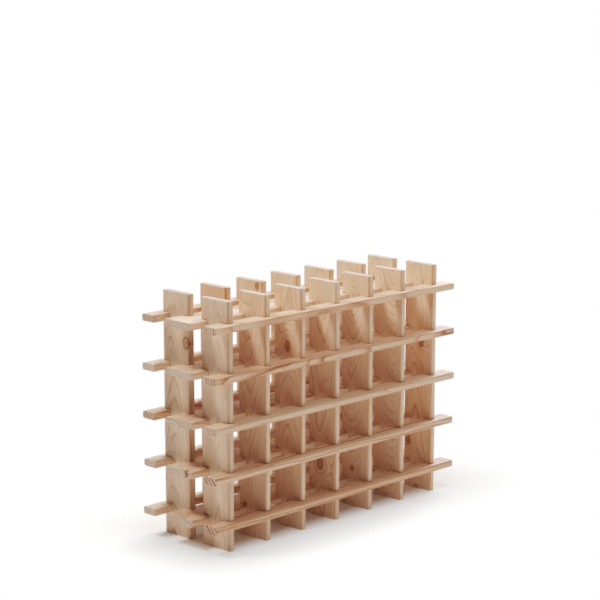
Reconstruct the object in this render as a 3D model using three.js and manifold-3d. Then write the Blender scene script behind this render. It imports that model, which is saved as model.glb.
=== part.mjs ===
// A wine rack of plain planed pine. Two rows of upright boards stand one behind the other,
// and five levels of flat rails run through them. Where a rail crosses an upright, each is
// slotted halfway, so the rack slides together and needs no glue, nails or screws. It has six
// bays on five levels, one bottle in each, and nothing on it moves.
//
// Millimetres, +Z up, +X along the rails and -Y to the front. The origin is on the floor, in
// the middle of the rack's footprint.

import * as THREE from 'three';
import { mergeVertices } from 'three/addons/utils/BufferGeometryUtils.js';
import Module from 'manifold-3d';

// ---------------------------------------------------------------- driving dimensions

// Planed pine, the one stock that all the pieces are sawn from.
const STOCK_WIDTH = 75;
const STOCK_THICKNESS = 14;
const EDGE_RADIUS = 4; // on the long edges, from the planer
const HALF_RAIL_WIDTH = 33; // a rail ripped along its middle, so one long edge is left square

// The rack. A bay is one bottle wide and a level is one bottle high.
const BAYS = 6;
const LEVELS = 5;
const BAY_PITCH = 95; // middle of one upright to the middle of the next
const LEVEL_PITCH = 94.5; // top of one rail to the top of the next
const FIRST_RAIL_HEIGHT = 44; // floor to the underside of the lowest rails
const UPRIGHT_LENGTH = 478;
const ROW_GAP = 33; // between the front row of uprights and the back row
const FACE_OVERHANG = 12; // front and back rails past the uprights' narrow edges
const END_OVERHANG = 44; // rails past the outer faces of the end uprights

// The joints. A slot is wider than the board it takes, and the two slots of a joint don't
// quite meet.
const SIDE_PLAY = 0.5;
const END_PLAY = 0.4;

// The ends are sawn by eye, so a rail's end falls short of the full overhang by a little.
// Each list runs from the lowest level to the highest.
const SAWN_SHORT = {
  front: { left: [0, 0, 1, 1, 2], right: [1, 3, 0, 2, 4] },
  middle: { left: [0, 1, 1, 2, 0], right: [2, 0, 1, 0, 2] },
  back: { left: [0, 3, 1, 2, 3], right: [0, 2, 3, 0, 1] },
};

// Raw pine. Boards from one plank differ a little in tone.
const PINE_TONES = ['#d9c3a3', '#d0b48e', '#dcc8ab', '#cbb08c', '#d6bb95'];
const PINE_ROUGHNESS = 0.62;

const ARC_FACES = 2; // flat faces to each rounded arris
const CUTTER_MARGIN = 2; // a cutter reaches this far past the wood it opens

// ---------------------------------------------------------------- places that follow

const UPRIGHTS = BAYS + 1;
const RACK_HALF_LENGTH = (BAYS * BAY_PITCH + STOCK_THICKNESS) / 2 + END_OVERHANG;
const UPRIGHT_ROW_Y = (ROW_GAP + STOCK_WIDTH) / 2;
const HALF_RAIL_Y = ROW_GAP / 2 + STOCK_WIDTH + FACE_OVERHANG - HALF_RAIL_WIDTH / 2;
const CROSSING = HALF_RAIL_WIDTH - FACE_OVERHANG; // how far a rail and an upright overlap
const SLOT_DEPTH = (CROSSING + END_PLAY) / 2;
const SLOT_WIDTH = STOCK_THICKNESS + 2 * SIDE_PLAY;

const uprightX = (index) => (index - BAYS / 2) * BAY_PITCH;
const railMiddleZ = (level) => FIRST_RAIL_HEIGHT + STOCK_THICKNESS / 2 + level * LEVEL_PITCH;

// ---------------------------------------------------------------- solids

const wasm = await Module();
wasm.setup();

// A closed geometry as a solid that can be cut.
function toSolid(geometry) {
  const bare = geometry.clone();
  bare.deleteAttribute('normal');
  bare.deleteAttribute('uv');
  const merged = mergeVertices(bare);
  return new wasm.Manifold(new wasm.Mesh({
    numProp: 3,
    vertProperties: new Float32Array(merged.attributes.position.array),
    triVerts: new Uint32Array(merged.index.array),
  }));
}

function toGeometry(solid) {
  const { vertProperties, triVerts } = solid.getMesh();
  const geometry = new THREE.BufferGeometry();
  geometry.setAttribute('position', new THREE.BufferAttribute(vertProperties, 3));
  geometry.setIndex(new THREE.BufferAttribute(triVerts, 1));
  geometry.computeVertexNormals();
  return geometry;
}

// The section of a piece of stock: thickness along x, width along y. Each of the two long
// edges, at -y and at +y, has its own radius, and a ripped edge has none.
function stockSection(width, lowRadius, highRadius) {
  const x = STOCK_THICKNESS / 2;
  const y = width / 2;
  const section = new THREE.Shape();
  section.moveTo(-x + lowRadius, -y);
  section.lineTo(x - lowRadius, -y);
  if (lowRadius) section.absarc(x - lowRadius, -y + lowRadius, lowRadius, -Math.PI / 2, 0);
  section.lineTo(x, y - highRadius);
  if (highRadius) section.absarc(x - highRadius, y - highRadius, highRadius, 0, Math.PI / 2);
  section.lineTo(-x + highRadius, y);
  if (highRadius) section.absarc(-x + highRadius, y - highRadius, highRadius, Math.PI / 2, Math.PI);
  section.lineTo(-x, -y + lowRadius);
  if (lowRadius) section.absarc(-x + lowRadius, -y + lowRadius, lowRadius, Math.PI, Math.PI * 1.5);
  return section;
}

// A length of stock along z, with slots sawn into its long edges. edges holds -1 for the
// edge at -y, 1 for the edge at +y, or both, and places are the slots' middles along z.
function slottedStock({ width, lowRadius, highRadius, from, to, edges, places }) {
  const bar = new THREE.ExtrudeGeometry(stockSection(width, lowRadius, highRadius), {
    depth: to - from,
    bevelEnabled: false,
    curveSegments: ARC_FACES / 2, // an arc gets two faces for each curve segment
  });
  bar.translate(0, 0, from);
  let solid = toSolid(bar);
  const cutter = new THREE.BoxGeometry(
    STOCK_THICKNESS + 2 * CUTTER_MARGIN, SLOT_DEPTH + CUTTER_MARGIN, SLOT_WIDTH);
  for (const edge of edges) {
    const cutterY = edge * ((width - SLOT_DEPTH + CUTTER_MARGIN) / 2);
    for (const place of places) {
      solid = solid.subtract(toSolid(cutter.clone().translate(0, cutterY, place)));
    }
  }
  return toGeometry(solid);
}

// ---------------------------------------------------------------- the two kinds of piece

const everyUpright = Array.from({ length: UPRIGHTS }, (_, index) => index);
const everyLevel = Array.from({ length: LEVELS }, (_, level) => level);

let pieceCount = 0;

// Each piece is a mesh of its own with its own pine.
function pinePiece(name, geometry) {
  const color = PINE_TONES[pieceCount % PINE_TONES.length];
  pieceCount += 1;
  const pine = new THREE.MeshStandardMaterial({ color, roughness: PINE_ROUGHNESS, metalness: 0 });
  const mesh = new THREE.Mesh(geometry, pine);
  mesh.name = name;
  return mesh;
}

// An upright is a full board on end. Its outer edge takes the front or back rails and its
// inner edge takes the middle rails, and the slots are the same on both.
function uprightGeometry() {
  return slottedStock({
    width: STOCK_WIDTH,
    lowRadius: EDGE_RADIUS,
    highRadius: EDGE_RADIUS,
    from: 0,
    to: UPRIGHT_LENGTH,
    edges: [-1, 1],
    places: everyLevel.map(railMiddleZ),
  });
}

// A rail lies flat with its length along the rack. Its mesh is turned by the row that holds
// it, so z here is the rack's x.
function railGeometry({ width, lowRadius, highRadius, edges }, short, level) {
  return slottedStock({
    width,
    lowRadius,
    highRadius,
    from: -RACK_HALF_LENGTH + short.left[level],
    to: RACK_HALF_LENGTH - short.right[level],
    edges,
    places: everyUpright.map(uprightX),
  });
}

// ---------------------------------------------------------------- assembly

function uprightRow(rowName, y) {
  const row = new THREE.Group();
  row.position.y = y;
  for (const index of everyUpright) {
    const upright = pinePiece(`${rowName}_upright_${index + 1}`, uprightGeometry());
    upright.position.x = uprightX(index);
    row.add(upright);
  }
  return row;
}

function railStack(rowName, y, stock) {
  const stack = new THREE.Group();
  stack.position.y = y;
  for (const level of everyLevel) {
    const rail = pinePiece(`${rowName}_rail_${level + 1}`,
      railGeometry(stock, SAWN_SHORT[rowName], level));
    rail.position.z = railMiddleZ(level);
    rail.rotation.y = Math.PI / 2;
    stack.add(rail);
  }
  return stack;
}

const fullRail = {
  width: STOCK_WIDTH, lowRadius: EDGE_RADIUS, highRadius: EDGE_RADIUS, edges: [-1, 1],
};
// The front and back rails turn their square ripped edge, with its slots, to the inside.
const frontRail = {
  width: HALF_RAIL_WIDTH, lowRadius: EDGE_RADIUS, highRadius: 0, edges: [1],
};
const backRail = {
  width: HALF_RAIL_WIDTH, lowRadius: 0, highRadius: EDGE_RADIUS, edges: [-1],
};

const wineRack = new THREE.Group();
wineRack.add(
  uprightRow('front', -UPRIGHT_ROW_Y),
  uprightRow('back', UPRIGHT_ROW_Y),
  railStack('front', -HALF_RAIL_Y, frontRail),
  railStack('middle', 0, fullRail),
  railStack('back', HALF_RAIL_Y, backRail),
);

export default wineRack;
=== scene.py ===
# %% [markdown]
# # A wine rack of slotted pine
#
# The real rack is 29 lengths of planed pine and nothing else. Fourteen boards stand on end
# in two rows, and fifteen rails lie flat through them on five levels. Every crossing is a
# pair of saw-cut slots, so the rack slides together without glue, nails or screws.
#
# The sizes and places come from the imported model, which is loaded first and never changed.
# Each of its plain pieces is then replaced by a finer one of the same size.

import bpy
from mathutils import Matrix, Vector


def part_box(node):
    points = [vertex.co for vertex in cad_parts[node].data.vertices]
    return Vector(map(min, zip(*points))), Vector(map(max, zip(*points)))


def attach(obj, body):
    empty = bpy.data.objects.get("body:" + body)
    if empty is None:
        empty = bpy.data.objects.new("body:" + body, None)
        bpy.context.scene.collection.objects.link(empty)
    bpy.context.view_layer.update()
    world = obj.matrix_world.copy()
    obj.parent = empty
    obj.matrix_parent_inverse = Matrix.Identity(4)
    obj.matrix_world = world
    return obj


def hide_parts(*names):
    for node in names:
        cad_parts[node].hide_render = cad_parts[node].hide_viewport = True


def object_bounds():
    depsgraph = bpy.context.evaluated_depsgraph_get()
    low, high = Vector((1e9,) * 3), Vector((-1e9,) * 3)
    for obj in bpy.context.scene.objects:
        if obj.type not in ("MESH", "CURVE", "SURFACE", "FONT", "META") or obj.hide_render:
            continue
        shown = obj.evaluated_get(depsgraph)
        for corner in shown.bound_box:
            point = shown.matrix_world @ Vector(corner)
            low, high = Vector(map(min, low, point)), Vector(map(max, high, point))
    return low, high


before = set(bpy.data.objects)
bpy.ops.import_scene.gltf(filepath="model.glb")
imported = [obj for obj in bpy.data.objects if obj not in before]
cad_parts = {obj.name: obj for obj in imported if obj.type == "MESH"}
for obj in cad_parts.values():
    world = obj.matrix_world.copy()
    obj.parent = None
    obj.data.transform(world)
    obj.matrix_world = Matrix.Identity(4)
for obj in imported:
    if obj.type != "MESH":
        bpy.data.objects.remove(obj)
cad_low, cad_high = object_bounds()
print("packed rack", [round(size * 1000, 1) for size in cad_high - cad_low], "mm")

# %% What the rest of the lesson needs
import math
import random

import bmesh
import bpy
from mathutils import Vector

MM = 0.001
scene = bpy.context.scene

# %% [markdown]
# ## The camera
#
# The rack is seen from its front left corner and from a little above, through a long lens.
# A long lens from far off keeps the boards nearly parallel, where a short one close by would
# make the near corner loom. The camera is placed from the rack's own box: a heading, a tilt
# and a distance from a point above the middle of the rack, so that the rack sits low in a
# square frame.

# %% Aim the camera
HEADING = math.radians(45.04)  # 0 looks along +Y, 90 along +X
TILT_DOWN = math.radians(10.74)
CAMERA_DISTANCE = 3.7467  # metres
AIM_FROM_MIDDLE = Vector((-0.0068, 0.0068, 0.1916))  # metres
LENS = 113.75  # millimetres, and so is the sensor
SENSOR_WIDTH = 36
VIEW_RANGE = (0.1, 200)  # metres, far enough to reach the floor's end

looking = Vector((
    math.sin(HEADING) * math.cos(TILT_DOWN),
    math.cos(HEADING) * math.cos(TILT_DOWN),
    -math.sin(TILT_DOWN),
))
rack_middle = (cad_low + cad_high) / 2
camera_data = bpy.data.cameras.new("rack_camera")
camera_data.lens = LENS
camera_data.sensor_width = SENSOR_WIDTH
camera_data.clip_start, camera_data.clip_end = VIEW_RANGE
camera = bpy.data.objects.new("rack_camera", camera_data)
camera.location = rack_middle + AIM_FROM_MIDDLE - looking * CAMERA_DISTANCE
camera.rotation_mode = "QUATERNION"
camera.rotation_quaternion = looking.to_track_quat("-Z", "Y")
scene.collection.objects.link(camera)
scene.camera = camera
print("camera at", [round(place, 3) for place in camera.location])

# %% [markdown]
# ## Colours and nodes
#
# A hex colour is written for the screen, in sRGB, and Blender's shaders work in linear
# light, so one function turns every colour over. A second small function adds a node, sets
# it up and links it, and the rest of the lesson uses it for all of its nodes. A third gives
# a colour ramp its stops.

# %% Helpers for materials
def linear(hex_colour):
    """An sRGB hex colour such as "#E9D6B8" as linear red, green, blue and alpha."""
    channels = [int(hex_colour[place:place + 2], 16) / 255 for place in (1, 3, 5)]
    return (*[c / 12.92 if c <= 0.04045 else ((c + 0.055) / 1.055) ** 2.4 for c in channels], 1)


def add_node(tree, kind, links=None, **settings):
    """Adds a node and sets it up. A link is a socket to join to, or a value to set."""
    node = tree.nodes.new(kind if kind.startswith("NodeGroup") else "ShaderNode" + kind)
    for name, value in settings.items():
        setattr(node, name, value)
    for socket, value in (links or {}).items():
        if isinstance(value, bpy.types.NodeSocket):
            tree.links.new(value, node.inputs[socket])
        else:
            node.inputs[socket].default_value = value
    return node


def set_stops(ramp, stops):
    """Gives a new colour ramp these (position, colour) stops, of which the first is at 0."""
    elements = ramp.color_ramp.elements
    elements[0].color = stops[0][1]
    elements[1].position, elements[1].color = stops[-1]
    for position, colour in stops[1:-1]:
        elements.new(position).color = colour


print("raw pine #E3CBA4 in linear light", [round(c, 3) for c in linear("#E3CBA4")[:3]])

# %% [markdown]
# ## The studio
#
# The rack stands on a plain pale floor that runs out to white. The light is soft and mostly
# comes from overhead and from a tall white wall on the right, beyond the rack. The wall
# skims the tops, which gives them a pale sheen, and lights the front edges at a slant. A
# smaller key bank, high up on the left and a little behind, shines down through the gaps
# between the rails and lays a bright patch on the upper boards. No light comes from where
# the camera stands, so the insides of the bays are lit by light that has already been on
# wood once or twice, which turns them a deep warm brown.
#
# A plain lit floor could be done with one matt paint and a wide light, but then it never
# gets quite white without the wood burning out too. So the floor is paint near the rack,
# where it takes the soft shadow, and turns into an even white glow a hand's length further
# off, as a well-lit paper sweep does. Such a floor throws light back up at the rack. Studios
# lay dark flags on it where that isn't wanted, and here the glow is turned down beyond the
# frame, to the left and in front, so that the rack's left ends stay darker than its front.

# %% Floor
FLOOR_PAINT = "#F5EFE8"
FLOOR_HALF = 60.0  # metres
FLOOR_FAR = 0.17  # metres from the rack's footprint, where the glow is complete
FLOOR_WHITE = 1.27  # just past what the tone curve shows as full white
SHADOW_SHIFT = (0.05, 0.05, 0)  # metres, since shade falls a little to the back and the right
FLAG_NEAR, FLAG_FAR = 0.85, 1.2  # metres to the left and the front, where the flags begin
FLAGGED_WHITE = 0.28  # what a flag leaves of the glow
MOTTLE_SCALE = 1.5  # patches of paint a bit over half a metre across
MOTTLE_RANGE = (0.985, 1.015)


def pale_floor_material():
    """Painted studio floor: matt and pale warm grey near the rack, plain white further off."""
    material = bpy.data.materials.new("painted_studio_floor")
    material.use_nodes = True
    tree = material.node_tree
    tree.nodes.clear()
    place = add_node(tree, "TexCoord").outputs["Object"]
    shadow_place = add_node(tree, "VectorMath", {0: place, 1: SHADOW_SHIFT},
                            operation="SUBTRACT").outputs[0]
    either_side = add_node(tree, "VectorMath", {0: shadow_place}, operation="ABSOLUTE").outputs[0]
    past_edge = add_node(tree, "VectorMath", {0: either_side, 1: (*cad_high.xy, 0)},
                         operation="SUBTRACT").outputs[0]
    outside = add_node(tree, "VectorMath", {0: past_edge, 1: (0, 0, 0)},
                       operation="MAXIMUM").outputs[0]
    reach = add_node(tree, "VectorMath", {0: outside}, operation="LENGTH")
    white_share = add_node(tree, "MapRange", {
        "Value": reach.outputs["Value"], "From Max": FLOOR_FAR,
    }).outputs["Result"]
    apart = add_node(tree, "SeparateXYZ", {0: place}).outputs
    nearer = add_node(tree, "Math", {0: apart["X"], 1: apart["Y"]}, operation="MINIMUM").outputs[0]
    unflagged = add_node(tree, "MapRange", {
        "Value": nearer, "From Min": -FLAG_FAR, "From Max": -FLAG_NEAR, "To Min": FLAGGED_WHITE,
    }, interpolation_type="SMOOTHSTEP").outputs["Result"]
    far = add_node(tree, "Math", {0: white_share, 1: unflagged}, operation="MULTIPLY").outputs[0]
    mottle = add_node(tree, "TexNoise", {"Vector": place, "Scale": MOTTLE_SCALE, "Detail": 3})
    tint = add_node(tree, "MapRange", {
        "Value": mottle.outputs["Fac"], "To Min": MOTTLE_RANGE[0], "To Max": MOTTLE_RANGE[1],
    })
    paint = add_node(tree, "VectorMath", {
        0: linear(FLOOR_PAINT)[:3], 1: tint.outputs["Result"],
    }, operation="MULTIPLY")
    shader = add_node(tree, "BsdfPrincipled", {
        "Base Color": paint.outputs[0], "Roughness": 0.8, "Specular IOR Level": 0.2,
    })
    white = add_node(tree, "Emission", {"Color": (1, 1, 1, 1), "Strength": FLOOR_WHITE})
    mixed = add_node(tree, "MixShader", {0: far, 1: shader.outputs[0], 2: white.outputs[0]})
    add_node(tree, "OutputMaterial", {"Surface": mixed.outputs[0]})
    return material


floor_mesh = bpy.data.meshes.new("studio_floor")
corners = [(x * FLOOR_HALF, y * FLOOR_HALF, 0) for x, y in ((-1, -1), (1, -1), (1, 1), (-1, 1))]
floor_mesh.from_pydata(corners, [], [(0, 1, 2, 3)])
floor_mesh.materials.append(pale_floor_material())
studio_floor = bpy.data.objects.new("studio_floor", floor_mesh)
scene.collection.objects.link(studio_floor)
print("floor", FLOOR_HALF * 2, "m square")

# %% [markdown]
# The lamps are area lights, since soft boxes and white walls are just that, large glowing
# rectangles. The room's own faint light fills what no lamp reaches. Looked at directly, the
# room is as white as the floor, so that no dark horizon shows from a low angle.

# %% Lights
DAYLIGHT = (1.0, 1.05, 1.09)  # lamps a little cooler than the wood, as in most studios
WALL_LIGHT = (0.96, 1.07, 1.17)  # light off the white walls, cooler still
ROOM_LIGHT = 0.032  # only a few per cent, for the banks and the floor do nearly all the work
LIGHT_BANKS = {  # position, width and height in metres, then watts, each aimed at the rack
    "key_bank": ((-1.1, 0.6, 2.2), 0.5, 0.5, 27),
    "overhead_bank": ((0.0, 0.0, 2.4), 1.3, 1.3, 25),
    "overhead_front_bank": ((0.3, -1.2, 2.3), 1.2, 1.2, 14),
    "right_wall": ((4.4, 1.3, 2.2), 3.0, 2.0, 280),
    "far_wall": ((1.2, 4.4, 2.2), 3.0, 2.0, 30),
}

world = bpy.data.worlds.new("white_room")
world.use_nodes = True
room_tree = world.node_tree
room_tree.nodes.clear()
room = add_node(room_tree, "Background", {"Color": (*DAYLIGHT, 1), "Strength": ROOM_LIGHT})
backdrop = add_node(room_tree, "Background", {"Color": (1, 1, 1, 1), "Strength": FLOOR_WHITE})
seen_directly = add_node(room_tree, "LightPath").outputs["Is Camera Ray"]
room_or_backdrop = add_node(room_tree, "MixShader", {
    0: seen_directly, 1: room.outputs[0], 2: backdrop.outputs[0],
})
add_node(room_tree, "OutputWorld", {"Surface": room_or_backdrop.outputs[0]})
scene.world = world

for bank_name, (position, width, height, watts) in LIGHT_BANKS.items():
    light = bpy.data.lights.new(bank_name, "AREA")
    light.shape = "RECTANGLE"
    light.size, light.size_y = width, height
    light.color = WALL_LIGHT if "wall" in bank_name else DAYLIGHT
    light.energy = watts
    bank = bpy.data.objects.new(bank_name, light)
    bank.location = position
    bank.rotation_mode = "QUATERNION"
    bank.rotation_quaternion = (rack_middle - bank.location).to_track_quat("-Z", "Y")
    scene.collection.objects.link(bank)
print(len(LIGHT_BANKS), "light banks and a room light of", ROOM_LIGHT)

# %% [markdown]
# ## The tone curve
#
# Light in the room is linear, and a finished image seldom is. It is given an S curve, which
# deepens the shadows and eases the highlights off before they clip. The curve works on red,
# green and blue one by one, so a brown shadow grows richer and sunlit wood grows paler.
#
# Blender has ready-made looks that do much the same. They also grey the whites, so this
# curve is drawn point by point and ends in a true white.

# %% Bend the tones
TONE_CURVE = ((0.0, 0.0), (0.05, 0.045), (0.1, 0.098), (0.2, 0.232), (0.3, 0.345),
              (0.42, 0.465), (0.6, 0.59), (0.8, 0.69), (0.95, 0.765), (1.1, 0.865), (1.25, 1.0))
BRIGHTEST = TONE_CURVE[-1][0]  # what shows as full white

view = scene.view_settings
view.view_transform = "Standard"
view.use_curve_mapping = True
tones = view.curve_mapping
tones.extend = "EXTRAPOLATED"
tones.white_level = (BRIGHTEST, BRIGHTEST, BRIGHTEST)  # the curve's own 1
all_channels = tones.curves[3]  # the first three bend one colour each
for tone_in, tone_out in TONE_CURVE[1:-1]:
    all_channels.points.new(tone_in / BRIGHTEST, tone_out)
tones.update()
print("tone curve of", len(all_channels.points), "points")

# %% [markdown]
# ## The stock and how it is measured
#
# Every piece starts as the same planed pine, 75 by 14 mm with rounded long edges. The front
# and back rails are that stock ripped along its middle, which leaves one long edge square.
# It helps to measure each piece as a joiner would, in its own millimetres: t through the
# thickness, w across the width and l along the length. An upright stands, so its l is the
# rack's height. A rail lies flat, so its l is the rack's x and its t is the height. Where
# two boards cross, the joint's depth follows from how far they overlap, so the slots are
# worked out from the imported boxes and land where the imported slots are.

# %% Measure the pieces
ROWS = {"front": -1, "middle": 0, "back": 1}
ARRIS_RADIUS = 4.0
RIPPED_RADIUS = 0.6  # a ripped edge is only eased with sandpaper
SLOT_SIDE_PLAY = 0.5
SLOT_END_PLAY = 0.4


def measure(node):
    """A node's box in the piece's own millimetres, with the rack axis that each one follows."""
    low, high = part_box(node)
    axes = (2, 1, 0) if "rail" in node else (0, 1, 2)  # the rack axes of t, w and l
    middle = (low + high) / 2 / MM
    return {
        "axes": axes,
        "t": middle[axes[0]],
        "w": middle[axes[1]],
        "thickness": (high - low)[axes[0]] / MM,
        "width": (high - low)[axes[1]] / MM,
        "from": low[axes[2]] / MM,
        "to": high[axes[2]] / MM,
    }


stock = {node: measure(node) for node in sorted(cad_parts)}
print(len(stock), "pieces, the first", stock["back_rail_1"])

# %% Find the slots
upright_middles = [stock[f"front_upright_{place}"]["t"] for place in range(1, 8)]
rail_middles = [stock[f"front_rail_{level}"]["t"] for level in range(1, 6)]
front_board, front_rail = stock["front_upright_1"], stock["front_rail_1"]
rail_inner_edge = front_rail["w"] + front_rail["width"] / 2
board_outer_edge = front_board["w"] - front_board["width"] / 2
SLOT_DEPTH = (rail_inner_edge - board_outer_edge + SLOT_END_PLAY) / 2
SLOT_WIDTH = front_board["thickness"] + 2 * SLOT_SIDE_PLAY
print("slots", round(SLOT_WIDTH, 2), "wide and", round(SLOT_DEPTH, 2), "mm deep")

# %% [markdown]
# ## A board with real slots
#
# A board is a section drawn many times along its length and skinned, as a loft. The section
# is a rectangle with rounded corners. Where a slot is, every point of the section that would
# stand in it is pulled back to the slot's floor, so the slot has true square walls and the
# mesh stays in clean four-sided faces, with no boolean. The corner radius wanders a little
# along the length, because planer knives and sandpaper never take off quite the same. The
# last half millimetre of each sawn end is drawn in, as a saw cut that was lightly sanded.

# %% The section
ARC_STEPS = 6  # flat faces to each rounded corner, smooth once it is shaded


def section(half_t, half_w, low_radius, high_radius, slot_floors):
    """The outline of the stock as (t, w) points, with points at the slot floors."""
    outline = []
    for quarter, (side_t, side_w) in enumerate(((1, 1), (-1, 1), (-1, -1), (1, -1))):
        radius = high_radius if side_w > 0 else low_radius
        for step in range(ARC_STEPS + 1):
            turn = math.radians(90 * (quarter + step / ARC_STEPS))
            outline.append((
                side_t * (half_t - radius) + radius * math.cos(turn),
                side_w * (half_w - radius) + radius * math.sin(turn),
            ))
        if side_t == side_w:  # a narrow face follows this corner
            outline.append((0.0, side_w * half_w))
        else:
            inner = sorted([*slot_floors, 0.0], reverse=side_t < 0)
            outline += [(side_t * half_t, w) for w in inner]
    return outline


print(len(section(7, 37.5, 4, 4, [-26.8, 26.8])), "points round a full board")

# %% The rings along a piece
STATION_STEP = 16.0  # close enough for the wander of the corners to look smooth
SAWN_EASE = 0.5
END_INSET = 3.0  # one more section just inside each end keeps the ends' shading crisp
CUT_CLEARANCE = 1.5  # no section crowds the wall of a slot
WANDERS = ((0.3, 61, 1), (0.15, 23, 2))  # how much the corner radius wanders, and how slowly


def rings_of(node):
    """The piece's sections in order along its length, each as (l, points)."""
    piece, phase = stock[node], random.Random(node).uniform(0, 6)
    is_rail, row = "rail" in node, node.split("_")[0]
    ripped = ROWS[row] if is_rail else 0
    slot_edges = [-ripped] if ripped else [-1, 1]
    half_t, half_w = piece["thickness"] / 2, piece["width"] / 2
    floors = [edge * (half_w - SLOT_DEPTH) for edge in slot_edges]
    cuts = [middle + side * SLOT_WIDTH / 2
            for middle in (upright_middles if is_rail else rail_middles) for side in (-1, 1)]

    def outline(l):
        planed = ARRIS_RADIUS
        for much, slowness, turns in WANDERS:
            planed += much * math.sin(l / slowness + turns * phase)
        low = RIPPED_RADIUS if ripped > 0 else planed
        high = RIPPED_RADIUS if ripped < 0 else planed
        return section(half_t, half_w, low, high, floors)

    def slotted(points):
        deepest = {math.copysign(1, floor): floor for floor in floors}
        return [(t, min(w, deepest.get(1, w)) if w > 0 else max(w, deepest.get(-1, w)))
                for t, w in points]

    def eased(points):
        return [(t * (1 - SAWN_EASE / half_t), w * (1 - SAWN_EASE / half_w)) for t, w in points]

    start, end = piece["from"], piece["to"]
    steps = int((end - start) / STATION_STEP)
    stations = {start + SAWN_EASE, start + END_INSET, end - END_INSET, end - SAWN_EASE}
    stations |= {start + (end - start) * step / steps for step in range(1, steps)}
    stations = {l for l in stations if all(abs(l - cut) > CUT_CLEARANCE for cut in cuts)}
    rings = [(start, eased(outline(start)))]
    for l in sorted(stations | set(cuts)):
        whole = outline(l)
        if l in cuts:
            wall = [(l, whole), (l, slotted(whole))]
            opens = cuts.index(l) % 2 == 0
            rings += wall if opens else wall[::-1]
        else:
            in_slot = sum(cut < l for cut in cuts) % 2 == 1
            rings.append((l, slotted(whole) if in_slot else whole))
    return rings + [(end, eased(outline(end)))]


print(len(rings_of("front_rail_1")), "sections along a front rail")

# %% Skin the rings
WELD_DISTANCE = 1e-6  # metres
SHARP_ANGLE = math.radians(35)  # saw cuts and slot walls are sharper, planed corners are not


def board_mesh(node):
    """The skinned piece in the rack's frame, in metres, with its own millimetres kept."""
    piece, rings = stock[node], rings_of(node)
    axes, points, faces = piece["axes"], [], []
    for l, outline in rings:
        for t, w in outline:
            place = [0, 0, 0]
            place[axes[0]] = (piece["t"] + t) * MM
            place[axes[1]] = (piece["w"] + w) * MM
            place[axes[2]] = l * MM
            points.append(place)
    count = len(rings[0][1])
    for ring in range(len(rings) - 1):
        for corner in range(count):
            here, beyond = ring * count + corner, ring * count + (corner + 1) % count
            faces.append((here, beyond, beyond + count, here + count))
    faces.append(range(count))
    faces.append(range((len(rings) - 1) * count, len(rings) * count))
    mesh = bpy.data.meshes.new(node + "_pine")
    mesh.from_pydata(points, [], faces)
    clean = bmesh.new()
    clean.from_mesh(mesh)
    bmesh.ops.remove_doubles(clean, verts=clean.verts, dist=WELD_DISTANCE)
    bmesh.ops.recalc_face_normals(clean, faces=clean.faces)
    clean.to_mesh(mesh)
    clean.free()
    mesh.shade_smooth()
    mesh.set_sharp_from_angle(angle=SHARP_ANGLE)
    return mesh


trial = board_mesh("front_rail_1")
print("a front rail has", len(trial.polygons), "faces")
bpy.data.meshes.remove(trial)

# %% [markdown]
# ## What the wood needs to know
#
# Grain is not paint on the outside. It is a solid pattern inside the tree, and each face of
# a board is a slice through it, so a line on a wide face runs on round the edge and into
# the sawn end. The pattern therefore takes its place from the board's own millimetres,
# which are stored on every point of the mesh. Two more numbers go with them: how far a point
# is round the rounded long edge, for the painted shade there, and whether a face was sawn
# across the grain.

# %% Store the board's own millimetres
ACROSS_GRAIN = 0.7  # a face that looks this much along the board was sawn across the grain


def mark_board(mesh, node):
    """Adds board_mm, arris and end_grain to the mesh, for the pine to read."""
    piece = stock[node]
    axes = piece["axes"]
    offsets = (piece["t"], piece["w"], 0)
    half_t, half_w = piece["thickness"] / 2, piece["width"] / 2
    ripped_side = ROWS[node.split("_")[0]] if "rail" in node else 0
    places, roundness = [], []
    for vertex in mesh.vertices:
        t, w, l = (vertex.co[axis] / MM - offset for axis, offset in zip(axes, offsets))
        round_t = min(max(abs(t) - half_t + ARRIS_RADIUS, 0) / ARRIS_RADIUS, 1)
        round_w = min(max(abs(w) - half_w + ARRIS_RADIUS, 0) / ARRIS_RADIUS, 1)
        places += (t, w, l)
        # The middle of a quarter round is the root of a half in both, so twice makes it 1.
        roundness.append(2 * round_t * round_w if w * ripped_side >= 0 else 0)
    sawn = [abs(polygon.normal[axes[2]]) > ACROSS_GRAIN for polygon in mesh.polygons]
    for name, kind, domain, field, values in (
        ("board_mm", "FLOAT_VECTOR", "POINT", "vector", places),
        ("arris", "FLOAT", "POINT", "value", roundness),
        ("end_grain", "FLOAT", "FACE", "value", sawn),
    ):
        mesh.attributes.new(name, kind, domain).data.foreach_set(field, values)


print("each piece carries board_mm, arris and end_grain")

# %% [markdown]
# ## Planed pine, left raw
#
# Each growth ring of pine is pale wood from spring that darkens slowly towards a hard
# orange-brown line laid down in late summer, and then starts again at once. A ring is a
# tall thin cone round the pith. Where a board's face only just touches the cones, the rings
# draw arches, and where it cuts straight through them they draw stripes. So the pattern
# starts with one number, the distance from the pith, bends it with slow noise as the trunk
# did, lifts it round each knot, and divides it by the width of a ring.
#
# Image textures of boards would be quicker, but every face would need its own and their
# edges would never meet. A pattern that fills space needs no mapping, and one group of nodes
# serves all 29 boards, each with its own numbers.

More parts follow.
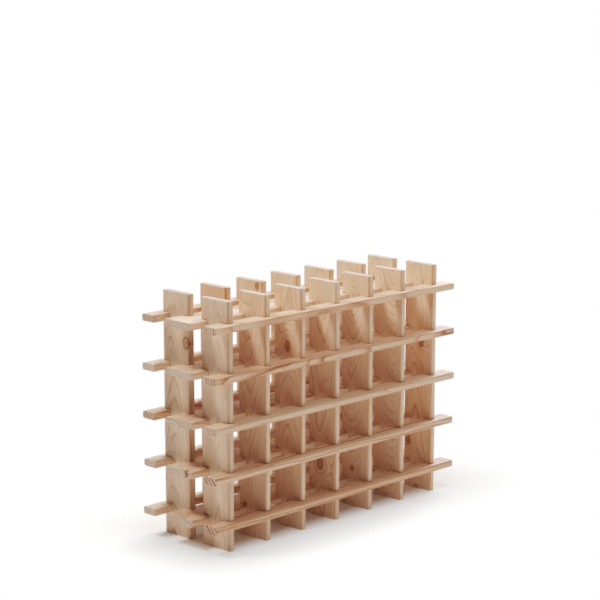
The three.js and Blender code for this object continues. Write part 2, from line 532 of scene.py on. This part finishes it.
# %% Pine colours
SPRING_WOOD = "#EDD3BA"  # pale cream, most of each ring
SUMMER_WOOD = "#C08655"  # the hard orange-brown line
RED_SPRING_WOOD = "#E4B896"  # the pale wood of a resinous board
RED_SUMMER_WOOD = "#A95C34"  # the same line in a resinous board
WARM_PATCH = (1.0, 0.93, 0.84)  # slow change of tone along a board, where resin has aged
END_GRAIN_TINT = (0.77, 0.79, 0.86)  # a sawn end is greyer, for its open pores trap light
KNOT_SHADES = ((0.0, "#7C4A2E"), (0.22, "#9E6A45"), (0.36, "#BC8963"), (0.52, "#945F3D"),
               (0.66, "#BA8660"), (0.82, "#9C6844"), (0.95, "#5A3420"))  # heart to bark line
KNOT_HALO_TINT = (0.93, 0.84, 0.73)  # resin soaked into the wood round a knot
EDGE_SHADE_TINT = (0.72, 0.58, 0.46)  # painted shade along the rounded edges, which get less light than the faces

# %% Grain sizes in millimetres
BEND_SIZE = (48, 48, 190)  # how slowly the trunk bends across and along a board
WOBBLE_SIZE = (11, 11, 75)  # small unevenness of each ring
FIBRE_SIZE = (2.0, 2.0, 85)  # real ones are under 0.05 mm wide, which would vanish here
PATCH_SIZE = (26, 26, 190)  # about a hand long, like the slow changes in a real plank
FLECK_SIZE = (1.1, 1.1, 16)  # resin canals, drawn wider than they are
SAW_MARK_SIZE = (1.6, 14, 14)  # the blade's scratches, drawn about twice as wide
NOWHERE = (0.0, 0.0, 9000.0)  # the place of a knot that a piece doesn't have

PINE_INPUTS = [
    ("Pith", "NodeSocketVector", (-45.0, 0.0, 0.0)),
    ("Ring Width", "NodeSocketFloat", 5.0),
    ("Taper", "NodeSocketFloat", 0.02),
    ("Bend", "NodeSocketFloat", 14.0),
    ("Ring Depth", "NodeSocketFloat", 0.6),
    ("Redness", "NodeSocketFloat", 0.3),
    ("Tone", "NodeSocketFloat", 1.0),
    ("Seed", "NodeSocketVector", (0.0, 0.0, 0.0)),
    ("Knot", "NodeSocketVector", NOWHERE),
    ("Knot Size", "NodeSocketFloat", 5.0),
    ("Second Knot", "NodeSocketVector", NOWHERE),
    ("Second Knot Size", "NodeSocketFloat", 5.0),
]
print("the pine takes", len(PINE_INPUTS), "facts about each piece")

# %% [markdown]
# ### Where the rings are
#
# The pith is the middle of the trunk, mostly outside the board that was sawn from it. A
# point's distance from it says which year the wood grew. The trunk wasn't straight, so slow
# noise bends the place first, and it was thicker at the foot, so the distance also changes
# a little along the board. That taper is what closes the arches at one end.

# %% The distance from the pith
def one_over(size):
    """Noise scales for a pattern of this size in millimetres."""
    return tuple(1 / length for length in size)


NOISE_MIDDLE = (0.5, 0.5, 0.5)  # noise varies about this, so taking it off centres the bend

pine = bpy.data.node_groups.new("planed_pine_figure", "ShaderNodeTree")
for name, kind, value in PINE_INPUTS:
    pine.interface.new_socket(name, in_out="INPUT", socket_type=kind).default_value = value
for name, kind in (("Color", "NodeSocketColor"), ("Roughness", "NodeSocketFloat"),
                   ("Height", "NodeSocketFloat")):
    pine.interface.new_socket(name, in_out="OUTPUT", socket_type=kind)

fact = add_node(pine, "NodeGroupInput").outputs
board_place = add_node(pine, "Attribute", attribute_name="board_mm").outputs["Vector"]
own_place = add_node(pine, "VectorMath", {0: board_place, 1: fact["Seed"]}).outputs[0]
along = add_node(pine, "SeparateXYZ", {0: board_place}).outputs["Z"]

bend_place = add_node(pine, "VectorMath", {0: own_place, 1: one_over(BEND_SIZE)},
                      operation="MULTIPLY").outputs[0]
bend_noise = add_node(pine, "TexNoise", {"Vector": bend_place, "Scale": 1, "Detail": 1.5})
bend_middle = add_node(pine, "VectorMath", {
    0: bend_noise.outputs["Color"], 1: NOISE_MIDDLE,
}, operation="SUBTRACT").outputs[0]
bend = add_node(pine, "VectorMath", {0: bend_middle, "Scale": fact["Bend"]},
                operation="SCALE").outputs[0]
from_pith = add_node(pine, "VectorMath", {0: board_place, 1: fact["Pith"]},
                     operation="SUBTRACT").outputs[0]
bent_from_pith = add_node(pine, "VectorMath", {0: from_pith, 1: bend}).outputs[0]
across = add_node(pine, "VectorMath", {0: bent_from_pith, 1: (1, 1, 0)},
                  operation="MULTIPLY").outputs[0]
radius = add_node(pine, "VectorMath", {0: across}, operation="LENGTH").outputs["Value"]
cone = add_node(pine, "Math", {0: along, 1: fact["Taper"], 2: radius},
                operation="MULTIPLY_ADD").outputs[0]
print("distance from the pith:", len(pine.nodes), "nodes")

# %% [markdown]
# ### Knots
#
# A knot is the root of a branch. The trunk's rings part and flow round it, and it has small
# dark rings of its own with a darker line of bark at its rim. It is drawn as an oval column
# through the board's thickness. Near it the count of rings is lifted by a smooth bump,
# which makes the lines part round it as they do in the tree.

# %% Part the rings round the knots
KNOT_LENGTH = 1.45  # a knot is longer along the board, where the blade cut it at a slant
KNOT_SWELL = 2.6  # how far the rings part round it, in knot sizes
KNOT_REACH = 2.9  # how far out the bump still lifts them, in knot sizes
HALO_FROM, HALO_TO = 0.9, 3.0  # where the resin-soaked wood starts and ends, in knot sizes

knot_distances, swelled = [], cone
for knot in ("Knot", "Second Knot"):
    knot_offset = add_node(pine, "VectorMath", {0: board_place, 1: fact[knot]},
                           operation="SUBTRACT").outputs[0]
    knot_oval = add_node(pine, "VectorMath", {0: knot_offset, 1: (0, 1, 1 / KNOT_LENGTH)},
                         operation="MULTIPLY").outputs[0]
    knot_length = add_node(pine, "VectorMath", {0: knot_oval}, operation="LENGTH").outputs["Value"]
    knot_distance = add_node(pine, "Math", {0: knot_length, 1: fact[knot + " Size"]},
                             operation="DIVIDE").outputs[0]
    knot_distances.append(knot_distance)
    reach = add_node(pine, "Math", {0: knot_distance, 1: KNOT_REACH},
                     operation="DIVIDE").outputs[0]
    squared = add_node(pine, "Math", {0: reach, 1: reach}, operation="MULTIPLY").outputs[0]
    falling = add_node(pine, "Math", {0: math.exp(-1), 1: squared}, operation="POWER").outputs[0]
    swell = add_node(pine, "Math", {0: falling, 1: fact[knot + " Size"]},
                     operation="MULTIPLY").outputs[0]
    swelled = add_node(pine, "Math", {0: swell, 1: KNOT_SWELL, 2: swelled},
                       operation="MULTIPLY_ADD").outputs[0]
near_knot = add_node(pine, "Math", dict(enumerate(knot_distances)), operation="MINIMUM").outputs[0]
knot_halo = add_node(pine, "MapRange", {
    "Value": near_knot, "From Min": HALO_FROM, "From Max": HALO_TO, "To Min": 1.0, "To Max": 0.0,
}, interpolation_type="SMOOTHSTEP").outputs["Result"]
print("up to", len(knot_distances), "knots to a board")

# %% [markdown]
# ### Growth rings
#
# The distance is divided by the width of a ring. The whole part of that is the year and the
# rest is the place inside the year's ring. Good years are wide and poor ones narrow, so a
# slow noise stretches the count. The place goes through a ramp that is pale through spring,
# climbs late and falls back at once, which is why a growth line has one soft side and one
# hard side. Every year gets its own strength by chance.

# %% Draw the rings
RING_RAMP = ((0.0, 0.3), (0.06, 0.0), (0.52, 0.06), (0.8, 0.5), (0.9, 1.0), (0.97, 1.0),
             (1.0, 0.3))  # place in the year, and how much of the summer colour
YEARS_SCALE, YEARS_SHIFT = 0.4, 1.6  # how often good years come, and how far they push
WOBBLE_SHIFT = 0.3  # in ring widths
WEAKEST_RING = 0.45
HALO_DEPTH = 0.6  # the lines are darker round a knot

wobble_place = add_node(pine, "VectorMath", {0: own_place, 1: one_over(WOBBLE_SIZE)},
                        operation="MULTIPLY").outputs[0]
wobble = add_node(pine, "TexNoise", {"Vector": wobble_place, "Scale": 1, "Detail": 2})
ring_count = add_node(pine, "Math", {0: swelled, 1: fact["Ring Width"]},
                      operation="DIVIDE").outputs[0]
slow_count = add_node(pine, "Math", {0: ring_count, 1: YEARS_SCALE},
                      operation="MULTIPLY").outputs[0]
good_years = add_node(pine, "TexNoise", {"W": slow_count, "Scale": 1, "Detail": 1},
                      noise_dimensions="1D").outputs[0]
uneven = add_node(pine, "Math", {0: good_years, 1: YEARS_SHIFT, 2: ring_count},
                  operation="MULTIPLY_ADD").outputs[0]
wobbly = add_node(pine, "Math", {0: wobble.outputs["Fac"], 1: WOBBLE_SHIFT, 2: uneven},
                  operation="MULTIPLY_ADD").outputs[0]
ring_number = add_node(pine, "Math", {0: wobbly}, operation="FLOOR").outputs[0]
ring_part = add_node(pine, "Math", {0: wobbly}, operation="FRACT").outputs[0]
ring_random = add_node(pine, "TexWhiteNoise", {"W": ring_number}, noise_dimensions="1D")
ring_strength = add_node(pine, "MapRange", {
    "Value": ring_random.outputs["Value"], "To Min": WEAKEST_RING, "To Max": 1.0,
}).outputs["Result"]
ring_shape = add_node(pine, "ValToRGB", {0: ring_part})
set_stops(ring_shape, [(place, (shade, shade, shade, 1)) for place, shade in RING_RAMP])
strong_ring = add_node(pine, "Math", {0: ring_shape.outputs[0], 1: ring_strength},
                       operation="MULTIPLY").outputs[0]
depth_here = add_node(pine, "Math", {0: knot_halo, 1: HALO_DEPTH, 2: fact["Ring Depth"]},
                      operation="MULTIPLY_ADD").outputs[0]
summer = add_node(pine, "Math", {0: strong_ring, 1: depth_here}, operation="MULTIPLY",
                  use_clamp=True).outputs[0]
print("each ring is a ramp of", len(RING_RAMP), "stops")

# %% [markdown]
# ### Fibres, patches and flecks
#
# Between the growth lines pine is not even. Fine fibres streak it along its length, whole
# patches are warmer, and short dark flecks mark the resin canals. The three are one kind of
# noise stretched along the board by three different sizes.

# %% Fibres, patches and resin flecks
STREAKS = {  # name: (size, detail, the part of the noise that counts, what it turns into)
    "fibre": (FIBRE_SIZE, 3, (0.25, 0.75), (0.93, 1.05)),  # a tone, from dark to light
    "patch": (PATCH_SIZE, 2, (0.35, 0.7), (0.0, 1.0)),  # a share of the warm tint
    "fleck": (FLECK_SIZE, 0, (0.7, 0.78), (1.0, 0.82)),  # a tone, dark only at rare peaks
}
noise, streak = {}, {}
for name, (size, detail, counts, becomes) in STREAKS.items():
    stretched = add_node(pine, "VectorMath", {0: own_place, 1: one_over(size)},
                         operation="MULTIPLY").outputs[0]
    noise[name] = add_node(pine, "TexNoise", {
        "Vector": stretched, "Scale": 1, "Detail": detail,
    }).outputs["Fac"]
    streak[name] = add_node(pine, "MapRange", {
        "Value": noise[name], "From Min": counts[0], "From Max": counts[1],
        "To Min": becomes[0], "To Max": becomes[1],
    }).outputs["Result"]
print("streaks:", ", ".join(streak))

# %% Put the colour together
# A colour Mix node keeps its factor at input 0, its colours at 6 and 7 and its result at 2.
KNOT_RIM_FROM, KNOT_RIM_TO = 0.92, 1.15  # the knot blends into the wood here, in knot sizes
KNOT_COVER = 0.9  # a little of the board's own figure shows through a knot

summer_colour = add_node(pine, "Mix", {
    0: fact["Redness"], 6: linear(SUMMER_WOOD), 7: linear(RED_SUMMER_WOOD),
}, data_type="RGBA").outputs[2]
spring_colour = add_node(pine, "Mix", {
    0: fact["Redness"], 6: linear(SPRING_WOOD), 7: linear(RED_SPRING_WOOD),
}, data_type="RGBA").outputs[2]
ringed = add_node(pine, "Mix", {0: summer, 6: spring_colour, 7: summer_colour},
                  data_type="RGBA").outputs[2]
patched = add_node(pine, "Mix", {0: streak["patch"], 6: ringed, 7: (*WARM_PATCH, 1)},
                   data_type="RGBA", blend_type="MULTIPLY").outputs[2]
fine_tone = add_node(pine, "Math", {0: streak["fibre"], 1: streak["fleck"]},
                     operation="MULTIPLY").outputs[0]
whole_tone = add_node(pine, "Math", {0: fine_tone, 1: fact["Tone"]},
                      operation="MULTIPLY").outputs[0]
toned = add_node(pine, "VectorMath", {0: patched, "Scale": whole_tone},
                 operation="SCALE").outputs[0]

knot_colour = add_node(pine, "ValToRGB", {0: near_knot})
set_stops(knot_colour, [(place, linear(shade)) for place, shade in KNOT_SHADES])
in_knot = add_node(pine, "MapRange", {
    "Value": near_knot, "From Min": KNOT_RIM_FROM, "From Max": KNOT_RIM_TO,
    "To Min": KNOT_COVER, "To Max": 0.0,
}, interpolation_type="SMOOTHSTEP").outputs["Result"]
haloed = add_node(pine, "Mix", {0: knot_halo, 6: toned, 7: (*KNOT_HALO_TINT, 1)},
                  data_type="RGBA", blend_type="MULTIPLY").outputs[2]
knotted = add_node(pine, "Mix", {0: in_knot, 6: haloed, 7: knot_colour.outputs[0]},
                   data_type="RGBA").outputs[2]
print("colour from", len(pine.nodes), "nodes so far")

# %% [markdown]
# ### Worn edges and sawn ends
#
# The planer's rounded edges get less light than the faces beside them, so they are painted
# a shade darker, in some stretches more than others. A sawn end shows the open ends of the
# fibres. They trap light, so the end is greyer, its growth lines stand out dark, and the
# blade has left faint scratches across it.

# %% Shaded edges and sawn ends
USUAL_NOISE = (0.3, 0.7)  # noise stays between these nearly everywhere
LEAST_EDGE_SHADE = 0.45
SCRATCH_TONES = (0.9, 1.06)
SAWN_RING_TONES = (1.08, 0.4)  # spring wood and a full summer line on a sawn end

arris_share = add_node(pine, "Attribute", attribute_name="arris").outputs["Fac"]
end_share = add_node(pine, "Attribute", attribute_name="end_grain").outputs["Fac"]
# Painted shade: the rounded edges are darkened, more in some stretches than others, since they get
# less light than the faces beside them.
edge_shade_strength = add_node(pine, "MapRange", {
    "Value": noise["patch"], "From Min": USUAL_NOISE[0], "From Max": USUAL_NOISE[1],
    "To Min": LEAST_EDGE_SHADE, "To Max": 1.0,
}).outputs["Result"]
painted_edge_shade = add_node(pine, "Math", {0: arris_share, 1: edge_shade_strength}, operation="MULTIPLY",
                      use_clamp=True).outputs[0]
edge_shaded = add_node(pine, "Mix", {0: painted_edge_shade, 6: knotted, 7: (*EDGE_SHADE_TINT, 1)},
                data_type="RGBA", blend_type="MULTIPLY").outputs[2]
saw_place = add_node(pine, "VectorMath", {0: own_place, 1: one_over(SAW_MARK_SIZE)},
                     operation="MULTIPLY").outputs[0]
saw_marks = add_node(pine, "TexNoise", {
    "Vector": saw_place, "Scale": 1, "Detail": 3,
}).outputs["Fac"]
sawn_tone = add_node(pine, "MapRange", {
    "Value": saw_marks, "From Min": USUAL_NOISE[0], "From Max": USUAL_NOISE[1],
    "To Min": SCRATCH_TONES[0], "To Max": SCRATCH_TONES[1],
}).outputs["Result"]
sawn_rings = add_node(pine, "MapRange", {
    "Value": summer, "To Min": SAWN_RING_TONES[0], "To Max": SAWN_RING_TONES[1],
}).outputs["Result"]
sawn_shade = add_node(pine, "Math", {0: sawn_tone, 1: sawn_rings}, operation="MULTIPLY").outputs[0]
sawn_tint = add_node(pine, "VectorMath", {0: END_GRAIN_TINT, "Scale": sawn_shade},
                     operation="SCALE").outputs[0]
sawn = add_node(pine, "Mix", {0: end_share, 6: edge_shaded, 7: sawn_tint},
                data_type="RGBA", blend_type="MULTIPLY").outputs[2]
print("the sawn ends are", END_GRAIN_TINT, "times as light in red, green and blue")

# %% [markdown]
# ### Roughness and relief
#
# Planed pine is matt and a touch silkier along some fibres than others. A sawn end is rougher
# still. The relief is slight: the hard summer lines stand a little proud of the soft spring
# wood, with the fibres between them, and the ends have the blade's scratches instead.

# %% Roughness and relief
PLANED_ROUGHNESS = (0.46, 0.6)
SAWN_ROUGHER = 0.25
RING_RELIEF = 0.8  # how much a full summer line adds to the fibres' relief

planed_roughness = add_node(pine, "MapRange", {
    "Value": noise["fibre"], "From Min": USUAL_NOISE[0], "From Max": USUAL_NOISE[1],
    "To Min": PLANED_ROUGHNESS[0], "To Max": PLANED_ROUGHNESS[1],
}).outputs["Result"]
rough = add_node(pine, "Math", {0: end_share, 1: SAWN_ROUGHER, 2: planed_roughness},
                 operation="MULTIPLY_ADD").outputs[0]
fibre_relief = add_node(pine, "Math", {0: summer, 1: RING_RELIEF, 2: noise["fibre"]},
                        operation="MULTIPLY_ADD").outputs[0]
relief = add_node(pine, "Mix", {0: end_share, 2: fibre_relief, 3: saw_marks}).outputs[0]
add_node(pine, "NodeGroupOutput", {"Color": sawn, "Roughness": rough, "Height": relief})
print("the pine figure has", len(pine.nodes), "nodes")

# %% [markdown]
# ## Each board is its own
#
# The boards come from different trees, so each has its own pith, ring width, tone and
# knots. These are given for each piece. The pith is given in the board's own
# (t, w), so a pith far below a wide face gives arches and one far to the side gives stripes.
# A knot is (w, l, half its width), all in millimetres. The ring width is in millimetres too,
# and depth, redness and tone are shares: how dark the growth lines are, how resinous the
# board is, and how light it is overall.

# %% Facts about each piece
# PLAIN is what a piece has where its own row says nothing.
PLAIN = {"pith": (-60, 6), "ring": 3.4, "taper": 0.1, "bend": 14, "depth": 0.5, "red": 0.35,
         "tone": 1.0, "knots": ()}
PIECE_FACTS = {
    "back_upright_1": {"pith": (-46, 10), "ring": 4.2, "depth": 0.7, "tone": 0.87,
                       "knots": ((-28.5, 383.5, 8.5),)},
    "back_upright_2": {"pith": (-30, 60), "ring": 3.2, "depth": 0.7, "red": 0.8, "taper": 0.03},
    "back_upright_3": {"pith": (-60, -20), "knots": ((-24, 468, 5),)},
    "back_upright_4": {"pith": (-50, 30), "ring": 3.8, "taper": -0.1},
    "back_upright_5": {"pith": (-44, -6), "ring": 4.2, "taper": 0.14},
    "back_upright_6": {"pith": (-70, 20), "ring": 3.6},
    "back_upright_7": {"pith": (-50, 14), "ring": 4.0},
    "front_upright_1": {"pith": (-42, -9), "ring": 3.0, "bend": 12, "taper": 0.06, "tone": 0.9},
    "front_upright_2": {"pith": (-52, 10), "ring": 3.6, "taper": -0.1,
                        "knots": ((20.7, 61, 3.2),)},
    "front_upright_3": {"pith": (-55, -4), "taper": 0.07, "knots": ((-0.5, 361.5, 7.5),)},
    "front_upright_4": {"pith": (-60, 2), "ring": 3.2, "depth": 0.6, "taper": -0.06,
                        "knots": ((4.4, 108, 8.5),)},
    "front_upright_5": {"pith": (-70, 12), "ring": 2.8, "taper": -0.14,
                        "knots": ((6.6, 79, 3.4),)},
    "front_upright_6": {"pith": (-50, -12), "ring": 3.0, "taper": -0.16},
    "front_upright_7": {"pith": (-44, 4), "ring": 3.8, "depth": 0.62, "taper": 0.08,
                        "knots": ((-8.3, 313, 6.5), (24.6, 98, 6))},
    "front_rail_1": {"pith": (-60, 60), "ring": 8.0, "depth": 1.35, "red": 1.0, "bend": 8,
                     "taper": 0.01, "tone": 0.93},
    "front_rail_2": {"pith": (-40, 40), "ring": 7.5, "depth": 1.1, "red": 0.8, "bend": 12,
                     "taper": 0.01, "tone": 0.96},
    "front_rail_3": {"pith": (-25, 70), "ring": 5.0, "depth": 0.45, "red": 0.6,
                     "taper": 0.02, "tone": 0.93},
    "front_rail_4": {"pith": (3, 42), "ring": 6.0, "depth": 1.1, "red": 0.8, "bend": 24,
                     "taper": 0.05},
    "front_rail_5": {"pith": (-6, 80), "ring": 6.4, "depth": 0.7, "red": 0.8, "taper": 0.02},
    "middle_rail_1": {"pith": (-150, 14), "ring": 3.6, "depth": 0.45, "red": 0.6},
    "middle_rail_2": {"pith": (-140, 8), "ring": 3.4, "depth": 0.5, "knots": ((-20, -334, 3.2),)},
    "middle_rail_3": {"pith": (-58, 30), "ring": 6.0, "depth": 0.65},
    "middle_rail_4": {"pith": (-90, -8), "ring": 3.6, "depth": 0.4},
    "middle_rail_5": {"pith": (-70, 6), "ring": 3.4, "depth": 0.6, "bend": 20},
    "back_rail_1": {"pith": (-50, 60), "ring": 5.0, "depth": 0.4},
    "back_rail_2": {"pith": (-44, -10), "ring": 3.6, "depth": 0.6, "tone": 0.94},
    "back_rail_3": {"pith": (-30, 34), "ring": 6.5, "depth": 1.0, "red": 0.8, "tone": 0.93},
    "back_rail_4": {"pith": (-80, 20), "ring": 4.0, "depth": 0.4},
    "back_rail_5": {"pith": (0, 60), "ring": 4.0, "depth": 0.6, "red": 0.8, "tone": 0.95},
}
print(len(PIECE_FACTS), "pieces have facts of their own")

# %% [markdown]
# ## The finish and the build
#
# Raw pine has no varnish. What gloss it has comes from the wood itself, so the refraction
# index is about that of cellulose. Loose fibre ends stand up from a planed face as a very fine
# fuzz, which catches the light that skims it and turns the tops pale. The shader's sheen
# does that. The colour, roughness and relief come from the group, and what is the same on
# every board is set on the shader itself.

# %% Make a piece's pine
PINE_IOR = 1.5
FUZZ, FUZZ_SPREAD = 0.25, 0.45
RELIEF_STRENGTH, RELIEF_DEPTH = 0.4, 0.5 * MM
SEED_SPREAD = 4000  # millimetres, so that no two boards come from the same spot in the noise


def pine_material(node):
    """Raw planed pine: matt pale cream wood with orange-brown growth lines."""
    facts = {**PLAIN, **PIECE_FACTS.get(node, {})}
    chance = random.Random("pine " + node)
    material = bpy.data.materials.new(node + "_planed_pine")
    material.use_nodes = True
    tree = material.node_tree
    tree.nodes.clear()
    own_facts = {
        "Pith": (*facts["pith"], 0), "Ring Width": facts["ring"], "Taper": facts["taper"],
        "Bend": facts["bend"], "Ring Depth": facts["depth"], "Redness": facts["red"],
        "Tone": facts["tone"], "Seed": [chance.uniform(0, SEED_SPREAD) for _ in range(3)],
    }
    for label, (w, l, size) in zip(("Knot", "Second Knot"), facts["knots"]):
        own_facts[label], own_facts[label + " Size"] = (0, w, l), size
    figure = add_node(tree, "Group", own_facts, node_tree=pine)
    relief = add_node(tree, "Bump", {
        "Height": figure.outputs["Height"], "Strength": RELIEF_STRENGTH, "Distance": RELIEF_DEPTH,
    })
    shader = add_node(tree, "BsdfPrincipled", {
        "Base Color": figure.outputs["Color"], "Roughness": figure.outputs["Roughness"],
        "Normal": relief.outputs[0], "IOR": PINE_IOR, "Sheen Weight": FUZZ,
        "Sheen Roughness": FUZZ_SPREAD,
    })
    add_node(tree, "OutputMaterial", {"Surface": shader.outputs[0]})
    return material


# %% Build all the pieces
# A length of planed pine for each packed one, in its place and of its size.
for node in stock:
    mesh = board_mesh(node)
    mark_board(mesh, node)
    mesh.materials.append(pine_material(node))
    piece = bpy.data.objects.new(node + "_board", mesh)
    scene.collection.objects.link(piece)
    flat_faces = piece.modifiers.new("flat_faces_stay_flat", "WEIGHTED_NORMAL")
    flat_faces.keep_sharp = True
    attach(piece, "root")
    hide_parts(node)
print(len(stock), "pieces built")
